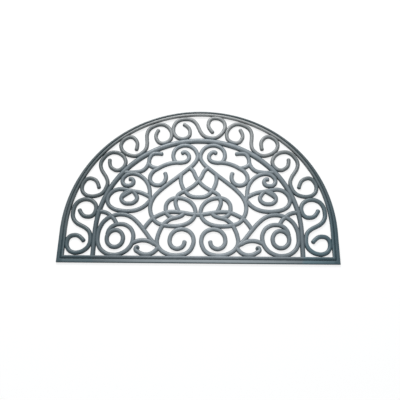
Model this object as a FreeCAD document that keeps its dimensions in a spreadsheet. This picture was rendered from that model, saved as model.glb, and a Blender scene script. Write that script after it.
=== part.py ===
# Half-round rubber door mat: a moulded open grille of scrolls inside a ribbed frame.
# X runs along the straight front edge, Y away from it, Z up. The origin is on the
# floor, in the middle of the mat's bounding box. Lengths are in millimetres.
import FreeCAD
import Part
import Sketcher
import math
import os

from FreeCAD import Vector

doc = FreeCAD.newDocument("ScrollDoorMat")

# Driving dimensions, each set by itself
SIZES = [
    ("mat_width", 762, "along the straight front edge"),
    ("leg_length", 89, "straight leg at each end of the arc, front edge to arc"),
    ("frame_width", 19, "frame, outer wall to inner wall"),
    ("frame_height", 9.5, "crown of the frame's inner bead"),
    ("edge_height", 4.2, "outer wall, up to the bevel of the lip"),
    ("lip_height", 6.4, "flat lip round the outside"),
    ("lip_bevel", 1.8, "bevel between outer wall and lip, in plan"),
    ("lip_width", 8.6, "outer wall to the groove"),
    ("groove_width", 2.0, "groove between lip and bead"),
    ("groove_depth", 1.6, "groove below the lip"),
    ("bead_bevel", 2.3, "slope on each side of the bead, in plan"),
    ("border_band", 72.7, "clear width between frame and inner arch, at the legs"),
    ("rim_drift", 4.5, "how much narrower the frame's lip is at the top of the arc"),
    ("arch_width", 11.5, "inner arch, at the floor"),
    ("arch_height", 8.8, "crown of the inner arch"),
    ("arch_wall", 4.4, "inner arch, side wall below the bevel"),
    ("arch_crown", 4.8, "flat on the crown of the inner arch"),
    ("arch_draft", 0.4, "lean of each side wall of the arch, in plan"),
    ("rib_width", 10.2, "scroll rib, at the floor"),
    ("rib_height", 8.0, "crown of a scroll rib"),
    ("rib_wall", 3.6, "scroll rib, side wall below the bevel"),
    ("rib_crown", 4.0, "flat on the crown of a scroll rib"),
    ("rib_draft", 0.4, "lean of each side wall of a rib, in plan"),
    ("rib_seat", 0.6, "how far a border scroll runs into frame and inner arch"),
    ("scroll_seat", 1.2, "how far a border scroll runs past half way to the next one"),
    ("tip_length", 2.6, "rounded nose of a free rib end"),
    ("tip_taper", 0.55, "share of the rib's section left at the nose"),
    ("facet_turn", 31, "degrees that one flat of a curled rib turns"),
    ("facet_sag", 0.65, "furthest that a flat lies inside its curve"),
]

# Sizes that follow from the driving dimensions
DERIVED = [
    ("rim_radius", "=mat_width / 2"),
    ("mat_depth", "=rim_radius + leg_length"),
    ("front", "=mat_depth / 2"),
    ("arc_centre", "=leg_length - front"),
    ("bead_centre", "=arc_centre + rim_drift"),
    ("bead_leg", "=leg_length + rim_drift"),
    ("groove_middle", "=lip_width + groove_width / 2"),
    ("groove_floor", "=lip_height - groove_depth"),
    ("bead_start", "=lip_width + groove_width"),
    ("bead_rise", "=bead_start + bead_bevel"),
    ("bead_fall", "=frame_width - bead_bevel"),
    ("rim_inner", "=rim_radius - frame_width"),
    ("arch_radius", "=rim_inner - border_band"),
    ("arch_inner", "=arch_radius - arch_width"),
    ("arch_leg", "=leg_length - frame_width"),
    ("arch_rise", "=(arch_width - arch_crown) / 2"),
    ("arch_fall", "=(arch_width + arch_crown) / 2"),
    ("arch_foot", "=arch_width - arch_draft"),
    ("mitre_block", "=frame_width * 4"),
    ("mitre_shift", "=mitre_block * sqrt(0.5) / 2"),
]

sheet = doc.addObject("Spreadsheet::Sheet", "Sizes")
for row, (name, value, note) in enumerate(SIZES, start=1):
    sheet.set("A%d" % row, name)
    sheet.set("B%d" % row, str(value))
    sheet.set("C%d" % row, note)
    sheet.setAlias("B%d" % row, name)
for row, (name, formula) in enumerate(DERIVED, start=len(SIZES) + 1):
    sheet.set("A%d" % row, name)
    sheet.set("B%d" % row, formula)
    sheet.setAlias("B%d" % row, name)
doc.recompute()
size = {name: float(sheet.get(name)) for name, *_ in SIZES + DERIVED}

# Corners of the moulded sections, as (in from the outer wall, up), by cell name. The
# frame is a flat lip and a higher bead, with a groove cut between them.
LIP_SECTION = [
    (None, None),
    (None, "edge_height"),
    ("lip_bevel", "lip_height"),
    ("bead_rise", "lip_height"),
    ("bead_rise", None),
]
BEAD_SECTION = [
    ("bead_start", None),
    ("bead_start", "lip_height"),
    ("bead_rise", "frame_height"),
    ("bead_fall", "frame_height"),
    ("frame_width", "lip_height"),
    ("frame_width", None),
]
GROOVE_SECTION = [
    ("lip_width", "lip_height"),
    ("groove_middle", "groove_floor"),
    ("bead_start", "lip_height"),
]
ARCH_SECTION = [
    (None, None),
    ("arch_draft", "arch_wall"),
    ("arch_rise", "arch_height"),
    ("arch_fall", "arch_height"),
    ("arch_foot", "arch_wall"),
    ("arch_width", None),
]

# Middles of the border scrolls, as shares of half the band's length
BORDER_PLACE_SHARES = [-0.853, -0.56, -0.28, 0, 0.28, 0.56, 0.853]

# Half of a border scroll, from its middle to its tip, as shares of its reach along
# the band and of its rise across the band. The other half is this one turned round.
SCROLL_SHARES = [
    (0.000, 0.00), (0.085, 0.43), (0.235, 0.82), (0.435, 0.98), (0.720, 0.93),
    (0.895, 0.60), (1.000, 0.02), (0.990, -0.43), (0.865, -0.86), (0.570, -1.00),
    (0.400, -0.80), (0.350, -0.46), (0.365, -0.11), (0.460, 0.22), (0.565, 0.45),
]

# Routes of the ribs in the field, left half, as shares of the field's half width
# (negative to the left) and of its height above the base bar
CROSS_BAR_SHARES = [
    (-0.540, 0.216), (-0.503, 0.264), (-0.451, 0.311), (-0.391, 0.340), (-0.318, 0.364),
    (-0.228, 0.369), (-0.141, 0.361), (-0.071, 0.351), (0.000, 0.346),
]
LOOP_BOW_SHARES = [
    (-0.180, 0.700), (-0.184, 0.653), (-0.167, 0.596), (-0.129, 0.541), (-0.080, 0.507),
    (0.000, 0.497),
]
LATTICE_SHARES = [
    (-0.100, 0.765), (-0.058, 0.731), (-0.028, 0.678), (0.008, 0.634), (0.047, 0.600),
    (0.096, 0.571), (0.156, 0.543),
]
HEART_BAR_SHARES = [
    (-0.241, 0.811), (-0.263, 0.843), (-0.270, 0.883), (-0.250, 0.929), (-0.200, 0.960),
    (-0.137, 0.969), (-0.074, 0.952), (-0.029, 0.909), (-0.016, 0.854), (-0.050, 0.798),
    (-0.122, 0.742), (-0.212, 0.680), (-0.310, 0.614), (-0.398, 0.549), (-0.455, 0.490),
    (-0.482, 0.426), (-0.477, 0.365), (-0.450, 0.313),
]
KNOT_BOWL_SHARES = [
    (-0.450, 0.316), (-0.418, 0.283), (-0.360, 0.260), (-0.277, 0.249), (-0.180, 0.252),
    (-0.097, 0.275), (-0.045, 0.315), (-0.025, 0.354),
]
KNOT_CROWN_SHARES = [
    (-0.025, 0.348), (-0.027, 0.382), (-0.052, 0.431), (-0.112, 0.472), (-0.194, 0.489),
    (-0.268, 0.480), (-0.315, 0.443), (-0.326, 0.400), (-0.320, 0.362),
]
KNOT_TAIL_SHARES = [
    (-0.349, 0.256), (-0.324, 0.277), (-0.270, 0.308), (-0.209, 0.322), (-0.158, 0.341),
    (-0.137, 0.365),
]
KNOT_HOOK_SHARES = [
    (-0.320, 0.365), (-0.302, 0.342), (-0.270, 0.325), (-0.238, 0.316),
]
KNOT_POST_SHARES = [
    (-0.217, 0.488), (-0.229, 0.456), (-0.219, 0.418), (-0.194, 0.371),
]
BOW_TIE_SHARES = [
    (-0.144, 0.548), (-0.180, 0.533), (-0.205, 0.515), (-0.220, 0.486),
]
FOOT_SCROLL_SHARES = [
    (-0.351, 0.250), (-0.374, 0.210), (-0.392, 0.164), (-0.398, 0.109), (-0.367, 0.059),
    (-0.311, 0.026), (-0.238, 0.009), (-0.157, 0.012), (-0.088, 0.036), (-0.049, 0.082),
    (-0.038, 0.135), (-0.063, 0.188), (-0.115, 0.217), (-0.184, 0.221), (-0.241, 0.196),
    (-0.272, 0.144), (-0.263, 0.095), (-0.223, 0.066), (-0.175, 0.065), (-0.137, 0.089),
    (-0.124, 0.125),
]
COIL_SHARES = [
    (-0.389, 0.081), (-0.443, 0.122), (-0.526, 0.207), (-0.616, 0.290), (-0.680, 0.328),
    (-0.756, 0.345), (-0.842, 0.336), (-0.922, 0.299), (-0.970, 0.239), (-0.988, 0.164),
    (-0.976, 0.093), (-0.922, 0.036), (-0.828, 0.009), (-0.738, 0.023), (-0.666, 0.070),
    (-0.635, 0.141), (-0.648, 0.204), (-0.695, 0.246), (-0.767, 0.263), (-0.839, 0.249),
    (-0.878, 0.216), (-0.893, 0.175),
]
COIL_RING_SHARES = [
    (-0.896, 0.141), (-0.871, 0.093), (-0.814, 0.073), (-0.760, 0.091), (-0.736, 0.132),
    (-0.745, 0.175), (-0.781, 0.206), (-0.833, 0.211), (-0.878, 0.187),
]
COIL_ROOT_SHARES = [
    (-1.015, 0.371), (-0.947, 0.365), (-0.900, 0.349), (-0.871, 0.328),
]
COIL_SPUR_SHARES = [
    (-0.871, 0.328), (-0.842, 0.308), (-0.823, 0.285), (-0.806, 0.259),
]
LEAF_TOP_SHARES = [
    (-0.644, 0.104), (-0.583, 0.125), (-0.522, 0.129), (-0.468, 0.119), (-0.421, 0.098),
]
LEAF_BOTTOM_SHARES = [
    (-0.596, 0.075), (-0.598, 0.056), (-0.580, 0.036), (-0.545, 0.020), (-0.497, 0.013),
    (-0.443, 0.024), (-0.403, 0.050), (-0.383, 0.072),
]
SHOULDER_SCROLL_SHARES = [
    (-0.182, 0.894), (-0.155, 0.907), (-0.122, 0.894), (-0.104, 0.861), (-0.124, 0.825),
    (-0.175, 0.809), (-0.245, 0.808), (-0.333, 0.792), (-0.421, 0.755), (-0.481, 0.716),
    (-0.502, 0.664), (-0.479, 0.621), (-0.430, 0.602), (-0.378, 0.611), (-0.346, 0.643),
    (-0.338, 0.682), (-0.349, 0.716),
]
EYE_CURL_SHARES = [
    (-0.716, 0.657), (-0.689, 0.657), (-0.670, 0.634), (-0.684, 0.607), (-0.724, 0.597),
    (-0.765, 0.607), (-0.785, 0.644), (-0.761, 0.682), (-0.716, 0.703), (-0.648, 0.702),
    (-0.581, 0.674), (-0.531, 0.630), (-0.502, 0.574), (-0.493, 0.512), (-0.479, 0.457),
]
EYE_LID_SHARES = [
    (-0.495, 0.460), (-0.535, 0.423), (-0.601, 0.390), (-0.680, 0.375), (-0.781, 0.378),
    (-0.869, 0.401), (-0.913, 0.439), (-0.922, 0.480), (-0.891, 0.532), (-0.824, 0.564),
    (-0.742, 0.562), (-0.670, 0.548), (-0.598, 0.538), (-0.540, 0.519), (-0.497, 0.500),
]
EYE_RING_SHARES = [
    (-0.783, 0.485), (-0.756, 0.449), (-0.702, 0.439), (-0.650, 0.451), (-0.623, 0.485),
    (-0.643, 0.519), (-0.691, 0.539), (-0.749, 0.523),
]
BRANCH_SHARES = [
    (-0.383, 0.889), (-0.432, 0.893), (-0.486, 0.886), (-0.517, 0.848), (-0.524, 0.804),
    (-0.547, 0.762), (-0.589, 0.732), (-0.652, 0.720), (-0.713, 0.717), (-0.770, 0.719),
]
BRANCH_LINK_SHARES = [
    (-0.524, 0.799), (-0.500, 0.776), (-0.464, 0.762), (-0.418, 0.756),
]


# Frame and inner arch
def origin_item(body, role):
    return next(item for item in body.Origin.OriginFeatures if item.Role == role)


def bind(sketch, constraint, cell):
    number = sketch.addConstraint(constraint)
    sketch.setExpression("Constraints[%d]" % number, "Sizes." + cell)


def distance_rule(axis, first, second, side, value):
    """A distance from the first point to the second, or back where the side is -1."""
    if side < 0:
        first, second = second, first
    return Sketcher.Constraint("Distance" + axis, *first, *second, value)


def section_sketch(body, name, plane, start, side, corners):
    """A closed outline on the side 1 or -1 of the sketch's origin. Its corners are measured
    from the foot of the outer wall, which is the cell start away from that origin."""
    sketch = body.newObject("Sketcher::SketchObject", name)
    sketch.AttachmentSupport = [(origin_item(body, plane), "")]
    sketch.MapMode = "FlatFace"
    count = len(corners)
    points = []
    for across, up in corners:
        reach = size[start] - (size[across] if across else 0)
        points.append(Vector(side * reach, size[up] if up else 0, 0))
    for i in range(count):
        sketch.addGeometry(Part.LineSegment(points[i], points[(i + 1) % count]))
    for i in range(count):
        sketch.addConstraint(Sketcher.Constraint("Coincident", i, 2, (i + 1) % count, 1))
    wall = sketch.addGeometry(Part.Point(Vector(side * size[start], 0, 0)), True)
    sketch.addConstraint(Sketcher.Constraint("PointOnObject", wall, 1, -1))
    bind(sketch, distance_rule("X", (-1, 1), (wall, 1), side, size[start]), start)
    for i, (across, up) in enumerate(corners):
        if across:
            bind(sketch, distance_rule("X", (wall, 1), (i, 1), -side, size[across]), across)
        else:
            sketch.addConstraint(Sketcher.Constraint("Vertical", wall, 1, i, 1))
        if up:
            bind(sketch, distance_rule("Y", (wall, 1), (i, 1), 1, size[up]), up)
        else:
            sketch.addConstraint(Sketcher.Constraint("Horizontal", wall, 1, i, 1))
    return sketch


def half_round(body, name, start, corners, centre, leg, cuts=False):
    """Half a ring about the cell centre, and a straight leg forwards from each end, added
    to the body or cut from it."""
    sections = []
    for side, word in ((1, "_right"), (-1, "_left")):
        sketch = section_sketch(body, name + word, "XZ_Plane", start, side, corners)
        sketch.setExpression("AttachmentOffset.Base.z", "-Sizes." + centre)
        sections.append(sketch)
    doc.recompute()
    turned, straight = ("Groove", "Pocket") if cuts else ("Revolution", "Pad")
    ring = body.newObject("PartDesign::" + turned, name + "_half_ring")
    ring.Profile = sections[0]
    ring.ReferenceAxis = (sections[0], ["V_Axis"])
    ring.Angle = 180
    for sketch in sections:
        bar = body.newObject("PartDesign::" + straight, sketch.Name + "_leg")
        bar.Profile = sketch
        bar.Reversed = cuts
        bar.setExpression("Length", "Sizes." + leg)
    doc.recompute()


def mitre_block(name, x_formula, y_formula, turn):
    block = doc.addObject("Part::Box", name)
    block.Placement.Rotation = FreeCAD.Rotation(Vector(0, 0, 1), turn)
    for edge in ("Length", "Width", "Height"):
        block.setExpression(edge, "Sizes.mitre_block")
    block.setExpression("Placement.Base.x", x_formula)
    block.setExpression("Placement.Base.y", y_formula)
    block.setExpression("Placement.Base.z", "-Sizes.mitre_block / 2")
    return block


def mitred(label, blank, blocks):
    """The blank with both of its corners cut to the frame's 45 degree mitre."""
    both = doc.addObject("Part::MultiFuse", label + "_mitre_blocks")
    both.Shapes = blocks
    cut = doc.addObject("Part::Cut", label)
    cut.Base = blank
    cut.Tool = both
    doc.recompute()
    return cut


def make_rim():
    """The lip runs round the outside, bead and groove about a centre a little further
    back, so that the lip gets narrower towards the top of the arc."""
    blank = doc.addObject("PartDesign::Body", "rim_blank")
    half_round(blank, "rim_lip", "rim_radius", LIP_SECTION, "arc_centre", "leg_length")
    half_round(blank, "rim_bead", "rim_radius", BEAD_SECTION, "bead_centre", "bead_leg")
    half_round(blank, "rim_groove", "rim_radius", GROOVE_SECTION, "bead_centre", "bead_leg",
               cuts=True)
    blocks = [
        mitre_block("rim_mitre_left", "-Sizes.rim_radius + Sizes.mitre_shift",
                    "-Sizes.front - 3 * Sizes.mitre_shift", 45),
        mitre_block("rim_mitre_right", "Sizes.rim_radius + Sizes.mitre_shift",
                    "-Sizes.front - Sizes.mitre_shift", 135),
    ]
    return mitred("rim", blank, blocks)


def make_base_bar():
    blank = doc.addObject("PartDesign::Body", "base_bar_blank")
    for name, corners, feature in (("base_lip", LIP_SECTION, "Pad"),
                                   ("base_bead", BEAD_SECTION, "Pad"),
                                   ("base_groove", GROOVE_SECTION, "Pocket")):
        section = section_sketch(blank, name, "YZ_Plane", "front", -1, corners)
        bar = blank.newObject("PartDesign::" + feature, name + "_bar")
        bar.Profile = section
        bar.SideType = "Symmetric"
        bar.setExpression("Length", "Sizes.mat_width")
    blocks = [
        mitre_block("base_mitre_left", "-Sizes.rim_radius - Sizes.mitre_shift",
                    "-Sizes.front - Sizes.mitre_shift", 45),
        mitre_block("base_mitre_right", "Sizes.rim_radius + 3 * Sizes.mitre_shift",
                    "-Sizes.front + Sizes.mitre_shift", 135),
    ]
    return mitred("base_bar", blank, blocks)


# Scroll ribs
def rib_section():
    """Corners of a rib's section, as (to the left of its route, up)."""
    foot = size["rib_width"] / 2
    wall = foot - size["rib_draft"]
    crown = size["rib_crown"] / 2
    right = [(-foot, 0), (-wall, size["rib_wall"]), (-crown, size["rib_height"])]
    return right + [(-across, up) for across, up in reversed(right)]


def flats_along(curve, first, last):
    turn = math.radians(size["facet_turn"])
    edge = curve.toShape(first, last)
    return edge.discretize(Angular=turn, Curvature=size["facet_sag"], Minimum=3)


def smooth_route(points, closed=False):
    """Flats along the smooth curve through the points, each turning facet_turn at most."""
    curve = Part.BSplineCurve()
    curve.interpolate(Points=points, PeriodicFlag=closed)
    flats = flats_along(curve, curve.FirstParameter, curve.LastParameter)
    return flats[:-1] if closed else flats


def rib_stations(route, closed, tips):
    """One (point, sideways, scale) for each ring of the rib. Sideways is the mitre
    between two flats; a free end gets one more ring, smaller, as its nose."""
    count = len(route)
    runs = [(route[(i + 1) % count] - route[i]).normalize() for i in range(count)]
    stations = []
    for i, point in enumerate(route):
        ahead = runs[i] if closed or i < count - 1 else runs[i - 1]
        behind = runs[i - 1] if closed or i > 0 else runs[i]
        along = (ahead + behind).normalize()
        sideways = Vector(-along.y, along.x, 0) / along.dot(ahead)
        stations.append((point, sideways, 1))
    nose = size["tip_length"]
    if "start" in tips:
        point, sideways, scale = stations[0]
        stations.insert(0, (point - runs[0] * nose, sideways, size["tip_taper"]))
    if "end" in tips:
        point, sideways, scale = stations[-1]
        stations.append((point + runs[-2] * nose, sideways, size["tip_taper"]))
    return stations


def rib_solid(route, closed=False, tips=()):
    corners = rib_section()
    rings = []
    for point, sideways, scale in rib_stations(route, closed, tips):
        rings.append([point + sideways * (across * scale) + Vector(0, 0, up * scale)
                      for across, up in corners])
    pairs = list(zip(rings, rings[1:]))
    if closed:
        pairs.append((rings[-1], rings[0]))
    faces = []
    for first, second in pairs:
        for k in range(len(corners)):
            m = (k + 1) % len(corners)
            outline = [first[k], first[m], second[m], second[k], first[k]]
            faces.append(Part.Face(Part.makePolygon(outline)))
    if not closed:
        for ring in (rings[0], rings[-1]):
            faces.append(Part.Face(Part.makePolygon(ring + ring[:1])))
    shell = Part.Shell(faces)
    solid = Part.Solid(shell)
    if solid.Volume < 0:
        solid.reverse()
    return solid.removeSplitter()


def field_points(shares):
    """Points in the field, from shares of its half width and of its height."""
    half = size["arch_inner"]
    bottom = size["frame_width"] - size["front"]
    height = size["arc_centre"] + half - bottom
    return [Vector(x * half, bottom + y * height, 0) for x, y in shares]


def middle_route(shares):
    """Flats of a route whose left half ends on the middle plane, and their mirror image."""
    left = field_points(shares)
    curve = Part.BSplineCurve()
    curve.interpolate(left + [Vector(-p.x, p.y, 0) for p in reversed(left[:-1])])
    flats = flats_along(curve, curve.FirstParameter, curve.LastParameter / 2)[:-1]
    return flats + [left[-1]] + [Vector(-p.x, p.y, 0) for p in reversed(flats)]


def band_point(run, share):
    """A point of the border band, from its run along the band's middle line, measured from
    the middle of the arc, and its share of the way from there to a rib beside the frame
    (1) or beside the inner arch (-1)."""
    radius = (size["rim_inner"] + size["arch_radius"]) / 2
    quarter = math.pi / 2
    turn = max(-quarter, min(quarter, run / radius))
    drift = size["rim_drift"] * math.cos(turn)
    rise = (size["border_band"] + drift - size["rib_width"]) / 2 + size["rib_seat"]
    reach = radius + drift / 2 + share * rise
    down_leg = max(0, abs(run) - radius * quarter)
    return Vector(reach * math.sin(turn),
                  size["arc_centre"] + reach * math.cos(turn) - down_leg, 0)


def border_route(number):
    """The S scroll of this number, counted from the left foot of the band. It reaches half
    way to its neighbours, and at the band's feet to the base bar. Those left of the middle
    one lean one way, and it and the rest lean the other way."""
    radius = (size["rim_inner"] + size["arch_radius"]) / 2
    half = radius * math.pi / 2 + size["arch_leg"]
    places = [share * half for share in BORDER_PLACE_SHARES]
    bounds = [-half] + [(a + b) / 2 for a, b in zip(places, places[1:])] + [half]
    middle = places[number - 1]
    short_of = size["rib_width"] / 2 - size["scroll_seat"]
    before = middle - bounds[number - 1] - short_of
    after = bounds[number] - middle - short_of
    lean = 1 if number <= len(places) // 2 else -1
    route = []
    for u, v in [(-u, -v) for u, v in reversed(SCROLL_SHARES[1:])] + SCROLL_SHARES:
        reach = before if lean * u < 0 else after
        route.append(band_point(middle + lean * u * reach, v))
    return route


# Ribs of the field's left half: label, route, free ends, and the pieces it runs into
FIELD_RIBS = [
    ("foot_scroll", FOOT_SCROLL_SHARES, ("end",), ("knot_bowl",)),
    ("coil", COIL_SHARES, (), ("foot_scroll",)),
    ("coil_root", COIL_ROOT_SHARES, (), ("coil",)),
    ("coil_spur", COIL_SPUR_SHARES, (), ("coil",)),
    ("leaf_top", LEAF_TOP_SHARES, (), ("coil",)),
    ("leaf_bottom", LEAF_BOTTOM_SHARES, ("start",), ("foot_scroll", "coil")),
    ("heart_bar", HEART_BAR_SHARES, (), ("cross_bar", "shoulder_scroll")),
    ("shoulder_scroll", SHOULDER_SCROLL_SHARES, ("start", "end"), ()),
    ("knot_bowl", KNOT_BOWL_SHARES, (), ("cross_bar",)),
    ("knot_crown", KNOT_CROWN_SHARES, (), ("cross_bar",)),
    ("knot_tail", KNOT_TAIL_SHARES, (), ("cross_bar", "knot_bowl")),
    ("knot_hook", KNOT_HOOK_SHARES, (), ("cross_bar", "knot_tail")),
    ("knot_post", KNOT_POST_SHARES, (), ("cross_bar", "knot_crown")),
    ("bow_tie", BOW_TIE_SHARES, (), ("loop_bow", "knot_crown")),
    ("eye_curl", EYE_CURL_SHARES, ("start",), ("heart_bar",)),
    ("eye_lid", EYE_LID_SHARES, (), ("eye_curl", "heart_bar")),
    ("branch", BRANCH_SHARES, ("start",), ("eye_curl",)),
    ("branch_link", BRANCH_LINK_SHARES, (), ("branch", "shoulder_scroll")),
]
FIELD_RINGS = [
    ("coil_ring", COIL_RING_SHARES, ("coil",)),
    ("eye_ring", EYE_RING_SHARES, ("eye_lid",)),
]


def mirrored(solid):
    return solid.mirror(Vector(), Vector(1, 0, 0))


def seated(solid, neighbours, keep=1):
    """The solid less all that its neighbours fill. Its largest parts are kept."""
    tools = [other for other in neighbours if other.BoundBox.intersect(solid.BoundBox)]
    left_over = solid.cut(tools) if tools else solid
    return sorted(left_over.Solids, key=lambda part: -part.Volume)[:keep]


def add_piece(label, shape):
    piece = doc.addObject("Part::Feature", label)
    piece.Shape = shape
    pieces.append(piece)
    return piece


def add_pair(label, shape):
    left = add_piece("left_" + label, shape)
    right = doc.addObject("Part::Mirroring", "right_" + label)
    right.Source = left
    right.Normal = Vector(1, 0, 0)
    pieces.append(right)


arch = doc.addObject("PartDesign::Body", "inner_arch")
half_round(arch, "arch", "arch_radius", ARCH_SECTION, "arc_centre", "arch_leg")
pieces = [make_rim(), make_base_bar(), arch]
frame = [piece.Shape for piece in pieces]

# Border, each scroll seated against the one before it
border = []
for number in range(1, len(BORDER_PLACE_SHARES) + 1):
    blank = rib_solid(smooth_route(border_route(number)), tips=("start", "end"))
    border += seated(blank, frame + border[-1:])
    add_piece("border_scroll_%d" % number, border[-1])

# Field
blanks = {
    "cross_bar": rib_solid(middle_route(CROSS_BAR_SHARES)),
    "loop_bow": rib_solid(middle_route(LOOP_BOW_SHARES)),
    "lattice": rib_solid(smooth_route(field_points(LATTICE_SHARES))),
}
for name, shares, tips, _ in FIELD_RIBS:
    blanks[name] = rib_solid(smooth_route(field_points(shares)), tips=tips)
for name, shares, _ in FIELD_RINGS:
    blanks[name] = rib_solid(smooth_route(field_points(shares), closed=True), closed=True)

# The two heart bars meet on the middle plane
reach = size["mat_width"]
far_side = Part.makeBox(reach, reach, reach, Vector(0, -reach / 2, -reach / 2))
for name, *_, winners in FIELD_RIBS + FIELD_RINGS:
    neighbours = frame + [blanks[other] for other in winners]
    if name == "heart_bar":
        neighbours.append(far_side)
    add_pair(name, seated(blanks[name], neighbours)[0])

coils = [blanks["coil"], mirrored(blanks["coil"])]
add_piece("cross_bar", seated(blanks["cross_bar"], coils)[0])
hearts = [blanks["heart_bar"], mirrored(blanks["heart_bar"])]
add_piece("loop_bow", seated(blanks["loop_bow"], hearts)[0])
ends = hearts + [blanks["loop_bow"]]
add_piece("lattice_left", seated(blanks["lattice"], ends)[0])
halves = seated(mirrored(blanks["lattice"]), ends + [blanks["lattice"]], keep=2)
halves.sort(key=lambda part: part.CenterOfMass.y)
add_piece("lattice_right_foot", halves[0])
add_piece("lattice_right_top", halves[1])
doc.recompute()

# Checks and export
for item in doc.Objects:
    if "Invalid" in item.State or "Error" in item.State:
        raise RuntimeError("%s did not recompute: %s" % (item.Label, item.State))
os.makedirs("parts", exist_ok=True)
for piece in pieces:
    shape = piece.Shape
    if shape.isNull() or not shape.isValid() or len(shape.Solids) != 1:
        raise RuntimeError("%s is not one valid solid" % piece.Label)
    shape.exportStep(os.path.join("parts", piece.Label + ".step"))
box = Part.makeCompound([piece.Shape for piece in pieces]).BoundBox
print("pieces %d, %.1f x %.1f x %.1f mm" % (len(pieces), box.XLength, box.YLength, box.ZLength))
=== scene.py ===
import math

import bpy
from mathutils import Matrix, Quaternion, Vector


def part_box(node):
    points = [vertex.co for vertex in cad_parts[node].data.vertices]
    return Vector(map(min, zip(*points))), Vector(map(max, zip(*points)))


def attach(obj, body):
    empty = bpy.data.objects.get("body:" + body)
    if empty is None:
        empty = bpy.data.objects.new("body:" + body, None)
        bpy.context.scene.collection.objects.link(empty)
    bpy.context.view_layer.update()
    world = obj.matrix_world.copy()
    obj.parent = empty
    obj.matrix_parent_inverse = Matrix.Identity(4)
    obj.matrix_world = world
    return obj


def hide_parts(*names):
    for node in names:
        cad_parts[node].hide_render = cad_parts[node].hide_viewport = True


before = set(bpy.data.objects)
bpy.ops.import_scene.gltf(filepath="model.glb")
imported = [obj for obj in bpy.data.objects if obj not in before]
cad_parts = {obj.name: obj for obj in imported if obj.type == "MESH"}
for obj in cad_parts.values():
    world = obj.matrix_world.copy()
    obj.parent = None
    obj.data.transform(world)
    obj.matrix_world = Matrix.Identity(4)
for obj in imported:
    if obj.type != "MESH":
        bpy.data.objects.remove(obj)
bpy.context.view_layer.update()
MM = 0.001

# Sizes of the mat, from its CAD nodes
rim_low, rim_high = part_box("rim")
bar_low, bar_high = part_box("base_bar")
arch_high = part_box("inner_arch")[1]
RIM_RADIUS = rim_high.x
FRONT_Y = rim_low.y
ARC_CENTRE_Y = rim_high.y - RIM_RADIUS
FRAME_WIDTH = bar_high.y - bar_low.y
FRAME_HEIGHT = rim_high.z
ARCH_RADIUS = arch_high.x
ARCH_HEIGHT = arch_high.z
RIB_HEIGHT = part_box("cross_bar")[1].z

# Ribs: their width at the floor in the field, in the upper border scrolls and in the CAD,
# how far a free end runs on past its route, and over what length its nose is rounded
RIB_FOOT = 12.1 * MM
BORDER_FOOT = 11.2 * MM
RIB_WIDTH = 10.2 * MM
NOSE_REACH = 2.6 * MM
NOSE_ROUND = 4.5 * MM
LEAF_CURL_NOSE = 40 * MM

# Frame and arch: how much narrower the frame's lip is at the arc's top, how far the frame
# bulges half way up each side, the lip round the outside, and the arch's width in the CAD
RIM_DRIFT = 4.5 * MM
RIM_BULGE = 1.3 * MM
LIP_HEIGHT = 6.4 * MM
LIP_BEVEL = 1.4 * MM
LIP_WIDTH = 8.8 * MM
ARCH_WIDTH = 11.5 * MM

# Border scrolls: how far they run into frame and arch and into each other, how far their
# middles shift towards the upper curl, and how much sooner the lower curl ends, in the
# band and at its feet. The lower curl's tip is pushed back from TIP_START on, and the upper
# curl's hump stays off the frame by a share of its rise.
RIB_SEAT = 0.6 * MM
SCROLL_SEAT = 1.2 * MM
SCROLL_SHIFT = 2.2 * MM
CURL_SHORT = 3.0 * MM
FOOT_SHORT = 5.0 * MM
TIP_SHIFT = 1.8 * MM
TIP_START = 9
HUMP_DROP = 0.09

# Middles of the border scrolls, as shares of half the band's length
BORDER_PLACE_SHARES = [-0.853, -0.562, -0.28, -0.002, 0.277, 0.558, 0.853]

# Half of a border scroll, from its middle to its tip, as shares of its reach along
# the band and of its rise across the band. The other half is this one turned round.
SCROLL_SHARES = [
    (0.000, 0.00), (0.085, 0.43), (0.235, 0.82), (0.435, 0.98), (0.720, 0.93),
    (0.895, 0.60), (1.000, 0.02), (0.990, -0.43), (0.865, -0.86), (0.570, -1.00),
    (0.400, -0.80), (0.350, -0.46), (0.365, -0.11), (0.460, 0.22), (0.565, 0.45),
]

# Routes of the ribs in the field, left half, as shares of the field's half width
# (negative to the left) and of its height above the base bar
CROSS_BAR_SHARES = [
    (-0.540, 0.216), (-0.503, 0.264), (-0.451, 0.311), (-0.391, 0.340), (-0.318, 0.364),
    (-0.228, 0.369), (-0.141, 0.361), (-0.071, 0.351), (0.000, 0.346),
]
LOOP_BOW_SHARES = [
    (-0.180, 0.700), (-0.184, 0.653), (-0.167, 0.596), (-0.129, 0.541), (-0.080, 0.507),
    (0.000, 0.497),
]
LATTICE_SHARES = [
    (-0.100, 0.765), (-0.058, 0.731), (-0.028, 0.678), (0.008, 0.634), (0.047, 0.600),
    (0.096, 0.571), (0.156, 0.543),
]
HEART_BAR_SHARES = [
    (-0.241, 0.811), (-0.263, 0.843), (-0.270, 0.883), (-0.250, 0.929), (-0.200, 0.960),
    (-0.137, 0.969), (-0.074, 0.952), (-0.029, 0.909), (-0.016, 0.854), (-0.050, 0.798),
    (-0.122, 0.742), (-0.212, 0.680), (-0.310, 0.614), (-0.398, 0.549), (-0.455, 0.490),
    (-0.482, 0.426), (-0.477, 0.365), (-0.450, 0.313),
]
KNOT_BOWL_SHARES = [
    (-0.450, 0.316), (-0.418, 0.283), (-0.360, 0.260), (-0.277, 0.249), (-0.180, 0.252),
    (-0.097, 0.275), (-0.045, 0.315), (-0.025, 0.354),
]
KNOT_CROWN_SHARES = [
    (-0.025, 0.348), (-0.027, 0.382), (-0.052, 0.431), (-0.112, 0.472), (-0.194, 0.489),
    (-0.268, 0.480), (-0.315, 0.443), (-0.326, 0.400), (-0.320, 0.362),
]
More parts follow.
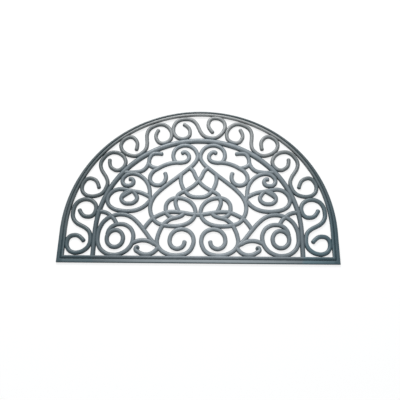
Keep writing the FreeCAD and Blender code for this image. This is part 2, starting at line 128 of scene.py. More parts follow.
KNOT_TAIL_SHARES = [
    (-0.349, 0.256), (-0.324, 0.277), (-0.270, 0.308), (-0.209, 0.322), (-0.158, 0.341),
    (-0.137, 0.365),
]
KNOT_HOOK_SHARES = [
    (-0.320, 0.365), (-0.302, 0.342), (-0.270, 0.325), (-0.238, 0.316),
]
KNOT_POST_SHARES = [
    (-0.217, 0.488), (-0.229, 0.456), (-0.219, 0.418), (-0.194, 0.371),
]
BOW_TIE_SHARES = [
    (-0.144, 0.548), (-0.180, 0.533), (-0.205, 0.515), (-0.220, 0.486),
]
FOOT_SCROLL_SHARES = [
    (-0.351, 0.250), (-0.374, 0.210), (-0.392, 0.164), (-0.398, 0.109), (-0.367, 0.059),
    (-0.311, 0.026), (-0.238, 0.009), (-0.157, 0.012), (-0.088, 0.036), (-0.049, 0.082),
    (-0.038, 0.135), (-0.063, 0.188), (-0.115, 0.217), (-0.184, 0.221), (-0.241, 0.196),
    (-0.272, 0.144), (-0.263, 0.095), (-0.223, 0.066), (-0.175, 0.065), (-0.137, 0.089),
    (-0.124, 0.125),
]
COIL_SHARES = [
    (-0.389, 0.081), (-0.443, 0.122), (-0.526, 0.207), (-0.616, 0.290), (-0.680, 0.328),
    (-0.756, 0.345), (-0.842, 0.336), (-0.922, 0.299), (-0.970, 0.239), (-0.988, 0.164),
    (-0.976, 0.093), (-0.922, 0.036), (-0.828, 0.009), (-0.738, 0.023), (-0.666, 0.070),
    (-0.635, 0.141), (-0.648, 0.204), (-0.695, 0.246), (-0.767, 0.263), (-0.839, 0.249),
    (-0.878, 0.216), (-0.893, 0.175),
]
COIL_RING_SHARES = [
    (-0.896, 0.141), (-0.871, 0.093), (-0.814, 0.073), (-0.760, 0.091), (-0.736, 0.132),
    (-0.745, 0.175), (-0.781, 0.206), (-0.833, 0.211), (-0.878, 0.187),
]
COIL_ROOT_SHARES = [
    (-1.015, 0.371), (-0.947, 0.365), (-0.900, 0.349), (-0.871, 0.328),
]
COIL_SPUR_SHARES = [
    (-0.871, 0.328), (-0.842, 0.308), (-0.823, 0.285), (-0.806, 0.259),
]
LEAF_TOP_SHARES = [
    (-0.644, 0.104), (-0.583, 0.125), (-0.522, 0.129), (-0.468, 0.119), (-0.421, 0.098),
]
LEAF_BOTTOM_SHARES = [
    (-0.596, 0.075), (-0.598, 0.056), (-0.580, 0.036), (-0.545, 0.020), (-0.497, 0.013),
    (-0.443, 0.024), (-0.403, 0.050), (-0.383, 0.072),
]
SHOULDER_SCROLL_SHARES = [
    (-0.182, 0.894), (-0.155, 0.907), (-0.122, 0.894), (-0.104, 0.861), (-0.124, 0.825),
    (-0.175, 0.809), (-0.245, 0.808), (-0.333, 0.792), (-0.421, 0.755), (-0.481, 0.716),
    (-0.502, 0.664), (-0.479, 0.621), (-0.430, 0.602), (-0.378, 0.611), (-0.346, 0.643),
    (-0.338, 0.682), (-0.349, 0.716),
]
EYE_CURL_SHARES = [
    (-0.716, 0.657), (-0.689, 0.657), (-0.670, 0.634), (-0.684, 0.607), (-0.724, 0.597),
    (-0.765, 0.607), (-0.785, 0.644), (-0.761, 0.682), (-0.716, 0.703), (-0.648, 0.702),
    (-0.581, 0.674), (-0.531, 0.630), (-0.502, 0.574), (-0.493, 0.512), (-0.479, 0.457),
]
EYE_LID_SHARES = [
    (-0.495, 0.460), (-0.535, 0.423), (-0.601, 0.390), (-0.680, 0.375), (-0.781, 0.378),
    (-0.869, 0.401), (-0.913, 0.439), (-0.922, 0.480), (-0.891, 0.532), (-0.824, 0.564),
    (-0.742, 0.562), (-0.670, 0.548), (-0.598, 0.538), (-0.540, 0.519), (-0.497, 0.500),
]
EYE_RING_SHARES = [
    (-0.783, 0.485), (-0.756, 0.449), (-0.702, 0.439), (-0.650, 0.451), (-0.623, 0.485),
    (-0.640, 0.520), (-0.679, 0.549), (-0.745, 0.533),
]
BRANCH_SHARES = [
    (-0.383, 0.889), (-0.432, 0.893), (-0.486, 0.886), (-0.517, 0.848), (-0.524, 0.804),
    (-0.547, 0.762), (-0.589, 0.732), (-0.652, 0.720), (-0.713, 0.717), (-0.770, 0.719),
]
BRANCH_LINK_SHARES = [
    (-0.524, 0.799), (-0.500, 0.776), (-0.464, 0.762), (-0.418, 0.756),
]

# Small curls that the CAD pieces leave out: the curled tip of the lower leaf, and the
# inner end of the strand that makes the eye ring
LEAF_CURL_SHARES = [
    (-0.584, 0.056), (-0.577, 0.065), (-0.582, 0.074), (-0.593, 0.077), (-0.604, 0.067),
    (-0.604, 0.050),
]
EYE_TIP_SHARES = [(-0.784, 0.491), (-0.760, 0.508), (-0.724, 0.529), (-0.680, 0.550)]

# Ribs of the field's left half: label, route, whether it closes, and its free ends
FIELD_RIBS = [
    ("foot_scroll", FOOT_SCROLL_SHARES, False, False, True),
    ("coil", COIL_SHARES, False, False, False),
    ("coil_ring", COIL_RING_SHARES, True, False, False),
    ("coil_root", COIL_ROOT_SHARES, False, False, False),
    ("coil_spur", COIL_SPUR_SHARES, False, False, False),
    ("leaf_top", LEAF_TOP_SHARES, False, False, False),
    ("leaf_bottom", LEAF_BOTTOM_SHARES, False, True, False),
    ("heart_bar", HEART_BAR_SHARES, False, False, False),
    ("shoulder_scroll", SHOULDER_SCROLL_SHARES, False, True, True),
    ("knot_bowl", KNOT_BOWL_SHARES, False, False, False),
    ("knot_crown", KNOT_CROWN_SHARES, False, False, False),
    ("knot_tail", KNOT_TAIL_SHARES, False, False, False),
    ("knot_hook", KNOT_HOOK_SHARES, False, False, False),
    ("knot_post", KNOT_POST_SHARES, False, False, False),
    ("bow_tie", BOW_TIE_SHARES, False, False, False),
    ("eye_curl", EYE_CURL_SHARES, False, True, False),
    ("eye_lid", EYE_LID_SHARES, False, False, False),
    ("eye_ring", EYE_RING_SHARES, True, False, False),
    ("branch", BRANCH_SHARES, False, True, False),
    ("branch_link", BRANCH_LINK_SHARES, False, False, False),
]


# Places in the mat's plane
def field_point(share):
    """A point in the field, from shares of its half width and of its height."""
    half = ARCH_RADIUS - ARCH_WIDTH
    bottom = FRONT_Y + FRAME_WIDTH
    return Vector((share[0] * half, bottom + share[1] * (ARC_CENTRE_Y + half - bottom), 0))


def bulge(turn):
    """How far the frame stands out from a true half circle, half way up each side."""
    return RIM_BULGE * math.sin(2 * turn) ** 2


def band_point(run, share):
    """A point of the border band, from its run along the band's middle line, measured from
    the middle of the arc, and its share of the way from there to a rib beside the frame
    (1) or beside the inner arch (-1)."""
    rim_inner = RIM_RADIUS - FRAME_WIDTH
    radius = (rim_inner + ARCH_RADIUS) / 2
    quarter = math.pi / 2
    turn = max(-quarter, min(quarter, run / radius))
    drift = RIM_DRIFT * math.cos(turn)
    rise = (rim_inner - ARCH_RADIUS + drift - RIB_WIDTH) / 2 + RIB_SEAT
    reach = radius + drift / 2 + share * rise + max(0, share) * bulge(turn)
    down_leg = max(0, abs(run) - radius * quarter)
    back = ARC_CENTRE_Y + reach * math.cos(turn) - down_leg
    return Vector((reach * math.sin(turn), back, 0))


def border_route(number):
    """The S scroll of this number, counted from the left foot of the band. It reaches half
    way to its neighbours, or to the base bar, but a little less with its lower curl, and
    its middle sits a little towards its upper curl, which stays clear of the frame."""
    radius = (RIM_RADIUS - FRAME_WIDTH + ARCH_RADIUS) / 2
    half = radius * math.pi / 2 + ARC_CENTRE_Y - FRONT_Y - FRAME_WIDTH
    places = [share * half for share in BORDER_PLACE_SHARES]
    bounds = [-half] + [(a + b) / 2 for a, b in zip(places, places[1:])] + [half]
    lean = 1 if number <= len(places) // 2 else -1
    middle = places[number - 1] + lean * SCROLL_SHIFT
    short_of = RIB_WIDTH / 2 - SCROLL_SEAT
    below, above = bounds[number - 1:number + 1][::lean]
    at_foot = number in (1, len(places))
    lower = abs(middle - below) - short_of - (FOOT_SHORT if at_foot else CURL_SHORT)
    upper = abs(above - middle) - short_of
    route = []
    for i, (u, v) in reversed(list(enumerate(SCROLL_SHARES))[1:]):
        shift = TIP_SHIFT if i > TIP_START else 0
        route.append(band_point(middle - lean * (u * lower + shift), -v))
    for u, v in SCROLL_SHARES:
        route.append(band_point(middle + lean * u * upper, v - HUMP_DROP * max(0, v)))
    return route


def mirrored(points):
    """The same route on the other half of the mat."""
    return [Vector((-p.x, p.y, p.z)) for p in points]


def with_noses(points, at_start, at_end):
    """The route, run on by the length of a nose at each free end."""
    route = list(points)
    if at_start:
        route.insert(0, points[0] + (points[0] - points[1]).normalized() * NOSE_REACH)
    if at_end:
        route.append(points[-1] + (points[-1] - points[-2]).normalized() * NOSE_REACH)
    return route


# Tones of the rubber, from the painted shade at the floor and clean rubber to dust, and the
# pale grey of painted light
PAINTED_FOOT_SHADE = (0.014, 0.018, 0.020, 1)
DEEP_SLATE = (0.028, 0.051, 0.060, 1)
PALE_SLATE = (0.046, 0.066, 0.075, 1)
FADED_SLATE = (0.078, 0.100, 0.108, 1)
DUSTY_GREY = (0.212, 0.233, 0.246, 1)
PAINTED_LIGHT_GREY = (0.282, 0.306, 0.316, 1)
CLOUD_SCALE = 9
CLOUD_FROM = 0.35
CLOUD_TO = 0.65

# Dust: thick round a middle, thin beyond its reach, and none on the outermost edge, which
# stays darker: clean rubber there, and painted shade in the frame's groove and on the base
# bar's front wall
DUST_MIDDLE = (36 * MM, -40 * MM, RIB_HEIGHT)
DUST_CORE = 0.16
DUST_REACH = 0.74
DUST_STRETCH = 2.0
LEAST_DUST = 0.1
RIM_CLEAN_AND_SHADED = 3.6 * MM
RIM_DUST_PAST_SHADE = 9.0 * MM
FRONT_CLEAN_AND_SHADED = 0.98 * MM
FRONT_DUST_PAST_SHADE = 2.66 * MM

# Wear on the crowns, as shares of a rib's height, and painted shade near the floor
WORN_FROM = 0.54
WORN_TO = 0.93
SPECK_SCALE = 60
SPECK_FROM = 0.3
SPECK_TO = 0.7
LEAST_SPECK = 0.7
FOOT_SHADE_HEIGHT = 4.4 * MM
FOOT_SHADE_SHARE = 0.8

# Painted light, in a pale grey: on the front lip, and on the frame's far bead from the middle
# of the mat on
LIP_PAINTED_LIGHT = 0.6
BEAD_PAINTED_LIGHT = 0.74
FAR_FROM = 50 * MM
FAR_TO = 200 * MM
PAINTED_LIGHT_EDGE = 1 * MM

# Tints: bluish in the field, and round it warm at the arc's top and cool at the feet
FIELD_TINT = (0.93, 0.995, 1.04, 1)
WARM_TINT = (1.03, 1.0, 0.975, 1)
COOL_TINT = (0.70, 1.0, 1.11, 1)
COOL_WAY = (0.2, -1, 0)
COOL_FROM = -50 * MM
COOL_TO = 300 * MM
TINT_EDGE = 8 * MM

# Gloss and moulded grain
GLOSS_SCALE = 140
LEAST_ROUGH = 0.38
MOST_ROUGH = 0.52
GRAIN_SCALE = 700
GRAIN_DEPTH = 0.12 * MM
GRAIN_STRENGTH = 0.35


def moulded_rubber():
    """Dark slate rubber: fine moulded grain, uneven tone, painted shade near the floor, in the
    frame's groove and on its front wall, painted light on the front lip and the frame's far
    bead, and crowns that dust and feet have turned paler, most of all in the middle of the
    mat."""
    material = bpy.data.materials.new("moulded_rubber")
    material.use_nodes = True
    nodes, links = material.node_tree.nodes, material.node_tree.links
    shader = nodes["Principled BSDF"]
    place = nodes.new("ShaderNodeTexCoord").outputs["Object"]

    def noise(scale, detail):
        node = nodes.new("ShaderNodeTexNoise")
        node.inputs["Scale"].default_value = scale
        node.inputs["Detail"].default_value = detail
        links.new(place, node.inputs["Vector"])
        return node.outputs["Fac"]

    def ramp(value, low, high, first, last):
        node = nodes.new("ShaderNodeMapRange")
        node.interpolation_type = "SMOOTHSTEP"
        for name, number in zip(("From Min", "From Max", "To Min", "To Max"),
                                (low, high, first, last)):
            node.inputs[name].default_value = number
        links.new(value, node.inputs["Value"])
        return node.outputs["Result"]

    def blend(amount, first, second, mode="MIX"):
        node = nodes.new("ShaderNodeMix")
        node.data_type = "RGBA"
        node.blend_type = mode
        for socket, colour in ((node.inputs["A"], first), (node.inputs["B"], second)):
            if isinstance(colour, tuple):
                socket.default_value = colour
            else:
                links.new(colour, socket)
        if isinstance(amount, (int, float)):
            node.inputs["Factor"].default_value = amount
        else:
            links.new(amount, node.inputs["Factor"])
        return node.outputs["Result"]

    def times(first, second):
        node = nodes.new("ShaderNodeMath")
        node.operation = "MULTIPLY"
        links.new(first, node.inputs[0])
        links.new(second, node.inputs[1])
        return node.outputs[0]

    split = nodes.new("ShaderNodeSeparateXYZ")
    links.new(place, split.inputs["Vector"])
    back, height = split.outputs["Y"], split.outputs["Z"]

    def distance(middle, stretch=1):
        """How far a place is from the middle, with distances along the mat stretched."""
        moved = nodes.new("ShaderNodeMapping")
        moved.inputs["Location"].default_value = (-middle[0] * stretch, -middle[1], -middle[2])
        moved.inputs["Scale"].default_value = (stretch, 1, 1)
        links.new(place, moved.inputs["Vector"])
        length = nodes.new("ShaderNodeVectorMath")
        length.operation = "LENGTH"
        links.new(moved.outputs["Vector"], length.inputs[0])
        return length.outputs["Value"]

    outward = distance((0, ARC_CENTRE_Y, LIP_HEIGHT))
    dust_and_shade = ramp(distance(DUST_MIDDLE, DUST_STRETCH), DUST_CORE, DUST_REACH, 1, LEAST_DUST)
    # Partly painted shade: no dust on the frame's outer lip and groove, nor on the base bar's
    # front wall, so these stay darker
    dust_and_shade = times(dust_and_shade, ramp(outward, RIM_RADIUS - RIM_DUST_PAST_SHADE, RIM_RADIUS - RIM_CLEAN_AND_SHADED, 1, 0))
    dust_and_shade = times(dust_and_shade, ramp(back, FRONT_Y + FRONT_CLEAN_AND_SHADED, FRONT_Y + FRONT_DUST_PAST_SHADE, 0, 1))

    clouds = ramp(noise(CLOUD_SCALE, 3), CLOUD_FROM, CLOUD_TO, 0, 1)
    tone = blend(clouds, DEEP_SLATE, PALE_SLATE)
    tone = blend(dust_and_shade, tone, FADED_SLATE)
    worn = times(ramp(height, RIB_HEIGHT * WORN_FROM, RIB_HEIGHT * WORN_TO, 0, 1),
                 ramp(noise(SPECK_SCALE, 4), SPECK_FROM, SPECK_TO, LEAST_SPECK, 1))
    tone = blend(times(worn, dust_and_shade), tone, DUSTY_GREY)
    # Painted shade: darker towards the floor, in place of the shade at the foot of each rib
    # and wall
    tone = blend(ramp(height, 0, FOOT_SHADE_HEIGHT, FOOT_SHADE_SHARE, 0), tone, PAINTED_FOOT_SHADE)
    # Painted light: the frame's bead and its inner wall at the back of the mat are painted
    # paler, as if lit
    bead = RIM_RADIUS - FRAME_WIDTH
    far_bead_painted_light = times(ramp(outward, bead - PAINTED_LIGHT_EDGE, bead, 0, BEAD_PAINTED_LIGHT),
                     ramp(back, FAR_FROM, FAR_TO, 0, 1))
    tone = blend(times(far_bead_painted_light, dust_and_shade), tone, PAINTED_LIGHT_GREY)
    # Painted light: the front lip is painted paler, as if lit from the front
    lip = FRONT_Y + LIP_WIDTH
    near_lip_painted_light = ramp(back, lip - PAINTED_LIGHT_EDGE, lip, LIP_PAINTED_LIGHT, 0)
    tone = blend(times(near_lip_painted_light, dust_and_shade), tone, PAINTED_LIGHT_GREY)

    slope = nodes.new("ShaderNodeVectorMath")
    slope.operation = "DOT_PRODUCT"
    slope.inputs[1].default_value = COOL_WAY
    links.new(place, slope.inputs[0])
    tint = blend(ramp(slope.outputs["Value"], COOL_FROM, COOL_TO, 0, 1), WARM_TINT, COOL_TINT)
    past_arch = ramp(outward, ARCH_RADIUS, ARCH_RADIUS + TINT_EDGE, 0, 1)
    tone = blend(1.0, tone, blend(past_arch, FIELD_TINT, tint), "MULTIPLY")
    links.new(tone, shader.inputs["Base Color"])
    rough = ramp(noise(GLOSS_SCALE, 3), SPECK_FROM, SPECK_TO, LEAST_ROUGH, MOST_ROUGH)
    links.new(rough, shader.inputs["Roughness"])

    grain = nodes.new("ShaderNodeBump")
    grain.inputs["Strength"].default_value = GRAIN_STRENGTH
    grain.inputs["Distance"].default_value = GRAIN_DEPTH
    links.new(noise(GRAIN_SCALE, 2), grain.inputs["Height"])
    links.new(grain.outputs["Normal"], shader.inputs["Normal"])
    return material


rubber = moulded_rubber()

# How a rib is swept: its section's roundness (1 is an ellipse, less is fuller) and points,
# the step along its route, the stub left at a nose's tip, and the turn that shows an edge
FULLNESS = 0.62
SECTION_POINTS = 13
RIB_STEP = 1.2 * MM
ROUTE_STEPS = 16
NOSE_STUB = 0.0004
SHARP_EDGE = math.radians(40)


def rib_tree():
    """A smooth curve goes in and a rib comes out, flat below and round above, drawn in to
    a round nose over the given length at its start and at its end."""
    tree = bpy.data.node_groups.new("moulded_rib", "GeometryNodeTree")
    face = tree.interface
    face.new_socket("Route", in_out="INPUT", socket_type="NodeSocketGeometry")
    for name, value in (("Width", RIB_FOOT), ("Height", RIB_HEIGHT),
                        ("Fullness", FULLNESS), ("Start nose", 0), ("End nose", 0),
                        ("Step", RIB_STEP)):
        socket = face.new_socket(name, in_out="INPUT", socket_type="NodeSocketFloat")
        socket.default_value = value
    face.new_socket("Rubber", in_out="INPUT", socket_type="NodeSocketMaterial")
    face.new_socket("Rib", in_out="OUTPUT", socket_type="NodeSocketGeometry")
    nodes, links = tree.nodes, tree.links
    given = nodes.new("NodeGroupInput").outputs

    def math_node(operation, first, second=None):
        node = nodes.new("ShaderNodeMath")
        node.operation = operation
        for socket, value in zip(node.inputs, (first, second)):
            if isinstance(value, (int, float)):
                socket.default_value = value
            elif value is not None:
                links.new(value, socket)
        return node.outputs[0]

    resample = nodes.new("GeometryNodeResampleCurve")
    resample.mode = "LENGTH"
    links.new(given["Route"], resample.inputs["Curve"])
    links.new(given["Step"], resample.inputs["Length"])
    upright = nodes.new("GeometryNodeSetCurveNormal")
    upright.mode = "Z_UP"
    links.new(resample.outputs["Curve"], upright.inputs["Curve"])

    # Section: a half circle widened, raised and made fuller, closed along the floor
    arc = nodes.new("GeometryNodeCurveArc")
    arc.inputs["Resolution"].default_value = SECTION_POINTS
    arc.inputs["Radius"].default_value = 1
    arc.inputs["Start Angle"].default_value = 0
    arc.inputs["Sweep Angle"].default_value = math.pi
    at = nodes.new("GeometryNodeInputPosition").outputs["Position"]
    split = nodes.new("ShaderNodeSeparateXYZ")
    links.new(at, split.inputs["Vector"])
    half = math_node("MULTIPLY", given["Width"], -0.5)
    across = math_node("MULTIPLY", split.outputs["X"], half)
    level = math_node("MAXIMUM", split.outputs["Y"], 0)
    drop = math_node("MULTIPLY", given["Height"], -1)
    up = math_node("MULTIPLY", math_node("POWER", level, given["Fullness"]), drop)
    corner = nodes.new("ShaderNodeCombineXYZ")
    links.new(across, corner.inputs["X"])
    links.new(up, corner.inputs["Y"])
    shaped = nodes.new("GeometryNodeSetPosition")
    links.new(arc.outputs["Curve"], shaped.inputs["Geometry"])
    links.new(corner.outputs["Vector"], shaped.inputs["Position"])
    closed = nodes.new("GeometryNodeSetSplineCyclic")
    closed.inputs["Cyclic"].default_value = True
    links.new(shaped.outputs["Geometry"], closed.inputs["Geometry"])

    # Noses: the section shrinks on a quarter circle
    along = nodes.new("GeometryNodeSplineParameter").outputs["Length"]
    whole = nodes.new("GeometryNodeSplineLength").outputs["Length"]

    def nose(distance, reach):
        left = math_node("MAXIMUM", math_node("SUBTRACT", reach, distance), 0)
        left = math_node("DIVIDE", left, math_node("MAXIMUM", reach, 1e-6))
        square = math_node("MULTIPLY", left, left)
        return math_node("SQRT", math_node("SUBTRACT", 1 + NOSE_STUB, square))

    start = nose(along, given["Start nose"])
    end = nose(math_node("SUBTRACT", whole, along), given["End nose"])
    sweep = nodes.new("GeometryNodeCurveToMesh")
    sweep.inputs["Fill Caps"].default_value = True
    links.new(upright.outputs["Curve"], sweep.inputs["Curve"])
    links.new(closed.outputs["Geometry"], sweep.inputs["Profile Curve"])
    links.new(math_node("MULTIPLY", start, end), sweep.inputs["Scale"])

    realize = nodes.new("GeometryNodeRealizeInstances")
    links.new(sweep.outputs["Mesh"], realize.inputs["Geometry"])
    finish = nodes.new("GeometryNodeSetMaterial")
    links.new(realize.outputs["Geometry"], finish.inputs["Geometry"])
    links.new(given["Rubber"], finish.inputs["Material"])
    links.new(finish.outputs["Geometry"], nodes.new("NodeGroupOutput").inputs["Rib"])
    return tree


rib_maker = rib_tree()
rib_sockets = {item.name: item.identifier for item in rib_maker.interface.items_tree
               if item.in_out == "INPUT"}


def finish_piece(name, mesh, *cad_nodes):
    """A finished mesh as a piece of the mat that stands for the CAD nodes named."""
    mesh.set_sharp_from_angle(angle=SHARP_EDGE)
    piece = bpy.data.objects.new(name, mesh)
    bpy.context.scene.collection.objects.link(piece)
    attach(piece, "root")
    if cad_nodes:
        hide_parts(*cad_nodes)
    return piece


def rib(cad_node, points, closed=False, free_start=False, free_end=False, nose=NOSE_ROUND,
        replaces=True, width=RIB_FOOT):
    """A rib along the points, with a round nose at each free end, that stands for the CAD
    node of its name where it replaces one."""
    curve = bpy.data.curves.new(cad_node + "_route", "CURVE")
    curve.dimensions = "3D"
    curve.resolution_u = ROUTE_STEPS
    spline = curve.splines.new("BEZIER")
    route = with_noses(points, free_start, free_end)
    spline.bezier_points.add(len(route) - 1)
    for knot, place in zip(spline.bezier_points, route):
        knot.co = place
        knot.handle_left_type = knot.handle_right_type = "AUTO"
    spline.use_cyclic_u = closed
    drawn = bpy.data.objects.new(cad_node + "_route", curve)
    bpy.context.scene.collection.objects.link(drawn)
    sweep = drawn.modifiers.new("moulded_rib", "NODES")
    sweep.node_group = rib_maker
    sweep[rib_sockets["Width"]] = width
    sweep[rib_sockets["Start nose"]] = nose if free_start else 0.0
    sweep[rib_sockets["End nose"]] = nose if free_end else 0.0
    sweep[rib_sockets["Rubber"]] = rubber
    shown = bpy.context.evaluated_depsgraph_get()
    mesh = bpy.data.meshes.new_from_object(drawn.evaluated_get(shown), depsgraph=shown)
    bpy.data.objects.remove(drawn)
    mesh.name = cad_node + "_rib"
    for face in mesh.polygons:
        face.use_smooth = True
    return finish_piece(cad_node + "_rib", mesh, *((cad_node,) if replaces else ()))


for number in range(1, len(BORDER_PLACE_SHARES) + 1):
    at_foot = number in (1, len(BORDER_PLACE_SHARES))
    rib("border_scroll_%d" % number, border_route(number), free_start=True, free_end=True,
        width=RIB_FOOT if at_foot else BORDER_FOOT)
for name, shares, closed, free_start, free_end in FIELD_RIBS:
    points = [field_point(share) for share in shares]
    nose = NOSE_ROUND
    if name == "leaf_bottom":
        points = [field_point(share) for share in LEAF_CURL_SHARES] + points[2:]
        nose = LEAF_CURL_NOSE
    rib("left_" + name, points, closed, free_start, free_end, nose)
    rib("right_" + name, mirrored(points), closed, free_start, free_end, nose)
points = [field_point(share) for share in EYE_TIP_SHARES]
rib("left_eye_tip", points, free_start=True, replaces=False)
rib("right_eye_tip", mirrored(points), free_start=True, replaces=False)
for name, shares in (("cross_bar", CROSS_BAR_SHARES), ("loop_bow", LOOP_BOW_SHARES)):
    points = [field_point(share) for share in shares]
    rib(name, points + mirrored(points[-2::-1]))
lattice = [field_point(share) for share in LATTICE_SHARES]
rib("lattice_left", lattice)
right_lattice = rib("lattice_right_top", mirrored(lattice))
right_lattice.name = "lattice_right_rib"
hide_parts("lattice_right_foot")


# Frame section: outer wall, groove and bead
EDGE_HEIGHT = 5.2 * MM
GROOVE_WIDTH = 3.4 * MM
GROOVE_DEPTH = 3.0 * MM
BEAD_BEVEL = 2.3 * MM
BEAD_SLOPE = 1.4 * MM
BEAD_WALL = 7.8 * MM
CORNER_ROUND = 1.2 * MM

# Inner arch: its section, how much wider than the CAD's it stands on each side, how much
# lower its inner side reaches at the top, and how far its feet run into the base bar
ARCH_WALL = 4.4 * MM
ARCH_CROWN = 4.8 * MM
ARCH_DRAFT = 0.4 * MM
ARCH_ROUND = 2.0 * MM
ARCH_SPREAD = 0.9 * MM
ARCH_SWELL = 2.8 * MM
ARCH_SEAT = 3.5 * MM

# How finely the arcs and the rounded corners are cut
ARC_STEPS = 180
CORNER_CUTS = (0, 0.33, 0.67, 1)
CORNER_LIMIT = 0.45


def swept_mesh(name, rings, closes=True):
    """A closed skin over the rings, which all have as many corners. The last ring joins
    the first where it closes, and both get a flat end where it doesn't."""
    count = len(rings[0])
    last = (len(rings) - 1) * count
    corners = [point for ring in rings for point in ring]
    faces = []
    if not closes:
        faces = [tuple(range(count)), tuple(range(last, last + count))[::-1]]
    for i in range(len(rings) if closes else len(rings) - 1):
        j = (i + 1) % len(rings)
        for k in range(count):
            m = (k + 1) % count
            faces.append((i * count + k, j * count + k, j * count + m, i * count + m))
    mesh = bpy.data.meshes.new(name)
    mesh.from_pydata(corners, [], faces)
    mesh.materials.append(rubber)
    for face in mesh.polygons:
        face.use_smooth = True
    return mesh


def half_round(radius, section, foot, drift, bulges=False):
    """Rings of a section (in from the outer wall, up) round the arc, from the right foot
    to the left one. From the distance in from the outer wall, foot gives a leg's end, and
    drift how much further back than the arc's own centre the corner turns about. Only the
    frame bulges."""
    centres = [ARC_CENTRE_Y + drift(a) for a, z in section]
    rings = [[Vector((radius - a, foot(a), z)) for a, z in section]]
    for step in range(ARC_STEPS + 1):
        turn = math.pi * step / ARC_STEPS
        wall = radius + (bulge(turn) if bulges else 0)
        rings.append([Vector(((wall - a) * math.cos(turn),
                              centre + (wall - a) * math.sin(turn), z))
                      for (a, z), centre in zip(section, centres)])
    rings.append([Vector((a - radius, foot(a), z)) for a, z in section])
    return rings


def rounded(section, radius):
    """The section with each corner above the floor rounded, by cutting it in three."""
    out = []
    for i, (a, z) in enumerate(section):
        if z == 0:
            out.append((a, z))
            continue
        here = Vector((a, z))
        before = Vector(section[i - 1])
        after = Vector(section[(i + 1) % len(section)])
        back, on = before - here, after - here
        back = back.normalized() * min(radius, back.length * CORNER_LIMIT)
        on = on.normalized() * min(radius, on.length * CORNER_LIMIT)
        for share in CORNER_CUTS:
            middle = here + back * (1 - share) ** 2 + on * share ** 2
            out.append((middle.x, middle.y))
    return out


frame_section = rounded([
    (0, 0),
    (0, EDGE_HEIGHT),
    (LIP_BEVEL, LIP_HEIGHT),
    (LIP_WIDTH, LIP_HEIGHT),
    (LIP_WIDTH + GROOVE_WIDTH / 2, LIP_HEIGHT - GROOVE_DEPTH),
    (LIP_WIDTH + GROOVE_WIDTH, LIP_HEIGHT),
    (LIP_WIDTH + GROOVE_WIDTH + BEAD_BEVEL, FRAME_HEIGHT),
    (FRAME_WIDTH - BEAD_SLOPE, FRAME_HEIGHT),
    (FRAME_WIDTH, BEAD_WALL),
    (FRAME_WIDTH, 0),
], CORNER_ROUND)
frame_rings = half_round(RIM_RADIUS, frame_section, lambda a: FRONT_Y + a,
                         lambda a: RIM_DRIFT if a > LIP_WIDTH - CORNER_ROUND else 0, True)
frame_mesh = swept_mesh("frame", frame_rings)
finish_piece("frame_moulding", frame_mesh, "rim", "base_bar")

arch_section = rounded([
    (-ARCH_SPREAD, 0),
    (ARCH_DRAFT - ARCH_SPREAD, ARCH_WALL),
    ((ARCH_WIDTH - ARCH_CROWN) / 2, ARCH_HEIGHT),
    ((ARCH_WIDTH + ARCH_CROWN) / 2, ARCH_HEIGHT),
    (ARCH_WIDTH + ARCH_SPREAD - ARCH_DRAFT, ARCH_WALL),
    (ARCH_WIDTH + ARCH_SPREAD, 0),
], ARCH_ROUND)
arch_foot = FRONT_Y + FRAME_WIDTH - ARCH_SEAT
arch_rings = half_round(ARCH_RADIUS, arch_section, lambda a: arch_foot,
                        lambda a: -ARCH_SWELL * a / ARCH_WIDTH)
finish_piece("inner_arch_moulding", swept_mesh("inner_arch", arch_rings, False), "inner_arch")


# Floor and lights: each lamp's place, width and power
FLOOR_SIZE = 12
FLOOR_GAP = 0.2 * MM
FLOOR_COLOUR = (0.88, 0.90, 0.91, 1)
FLOOR_ROUGHNESS = 0.9
FLOOR_SHEEN = 0.2
FLOOR_WHITENESS = 0.75
SKY_STRENGTH = 0.60
BACK_LIGHT = ((-0.4, 2.0, 1.9), 1.0, 76)
FRONT_LIGHT = ((0.9, -1.8, 2.4), 1.6, 8)

# Camera, fitted to the mat's outline in the photograph: angles in degrees
PHOTO_WIDTH = 400
SENSOR_WIDTH = 36
CAMERA_FOCAL_PX = 527.4
CAMERA_ELEVATION = 67.53
CAMERA_AZIMUTH = 5.09
CAMERA_ROLL = -4.45
CAMERA_DISTANCE = 1483.2 * MM
CAMERA_TARGET = Vector((4.95 * MM, FRONT_Y + 184.5 * MM, 0))


def plain_floor():
    """A pale floor that shows white to the camera, but for the mat's faint shadow."""
    bpy.ops.mesh.primitive_plane_add(size=FLOOR_SIZE, location=(0, 0, -FLOOR_GAP))
    floor = bpy.context.object
    floor.name = "pale_floor"
    material = bpy.data.materials.new("pale_floor")
    material.use_nodes = True
    nodes, links = material.node_tree.nodes, material.node_tree.links
    shader = nodes["Principled BSDF"]
    shader.inputs["Base Color"].default_value = FLOOR_COLOUR
    shader.inputs["Roughness"].default_value = FLOOR_ROUGHNESS
    shader.inputs["Specular IOR Level"].default_value = FLOOR_SHEEN
    seen = nodes.new("ShaderNodeMath")
    seen.operation = "MULTIPLY"
    seen.inputs[1].default_value = FLOOR_WHITENESS
    links.new(nodes.new("ShaderNodeLightPath").outputs["Is Camera Ray"], seen.inputs[0])
    mix = nodes.new("ShaderNodeMixShader")
    links.new(seen.outputs[0], mix.inputs["Fac"])
    links.new(shader.outputs["BSDF"], mix.inputs[1])
    links.new(nodes.new("ShaderNodeEmission").outputs["Emission"], mix.inputs[2])
    links.new(mix.outputs["Shader"], nodes["Material Output"].inputs["Surface"])
    floor.data.materials.append(material)


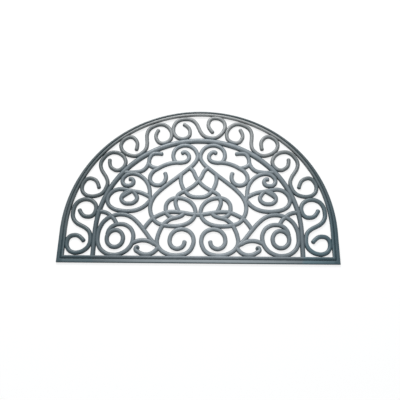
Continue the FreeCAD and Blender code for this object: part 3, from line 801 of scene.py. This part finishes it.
def soft_light(name, place, width, watts):
    """A round soft light that faces the middle of the mat."""
    lamp = bpy.data.lights.new(name, "AREA")
    lamp.shape = "DISK"
    lamp.size = width
    lamp.energy = watts
    holder = bpy.data.objects.new(name, lamp)
    holder.location = place
    holder.rotation_mode = "QUATERNION"
    holder.rotation_quaternion = (-Vector(place)).to_track_quat("-Z", "Y")
    bpy.context.scene.collection.objects.link(holder)


def soft_sky(strength):
    """Even white light from all round, and a white background to the camera."""
    world = bpy.data.worlds.new("soft_sky")
    bpy.context.scene.world = world
    world.use_nodes = True
    nodes, links = world.node_tree.nodes, world.node_tree.links
    sky = nodes["Background"]
    sky.inputs["Color"].default_value = (1, 1, 1, 1)
    seen = nodes.new("ShaderNodeLightPath").outputs["Is Camera Ray"]
    level = nodes.new("ShaderNodeMapRange")
    level.inputs["To Min"].default_value = strength
    level.inputs["To Max"].default_value = 1
    links.new(seen, level.inputs["Value"])
    links.new(level.outputs["Result"], sky.inputs["Strength"])


def photo_camera():
    """The camera at the photograph's viewing angle."""
    azimuth, elevation = math.radians(CAMERA_AZIMUTH), math.radians(CAMERA_ELEVATION)
    back = Vector((math.sin(azimuth) * math.cos(elevation),
                   -math.cos(azimuth) * math.cos(elevation), math.sin(elevation)))
    lens = bpy.data.cameras.new("photo_camera")
    lens.sensor_width = SENSOR_WIDTH
    lens.lens = SENSOR_WIDTH * CAMERA_FOCAL_PX / PHOTO_WIDTH
    camera = bpy.data.objects.new("photo_camera", lens)
    camera.location = CAMERA_TARGET + back * CAMERA_DISTANCE
    camera.rotation_mode = "QUATERNION"
    level = (-back).to_track_quat("-Z", "Y")
    camera.rotation_quaternion = level @ Quaternion((0, 0, 1), math.radians(CAMERA_ROLL))
    bpy.context.scene.collection.objects.link(camera)
    bpy.context.scene.camera = camera


plain_floor()
soft_sky(SKY_STRENGTH)
soft_light("back_light", *BACK_LIGHT)
soft_light("front_light", *FRONT_LIGHT)
photo_camera()
bpy.context.scene.view_settings.view_transform = "Standard"
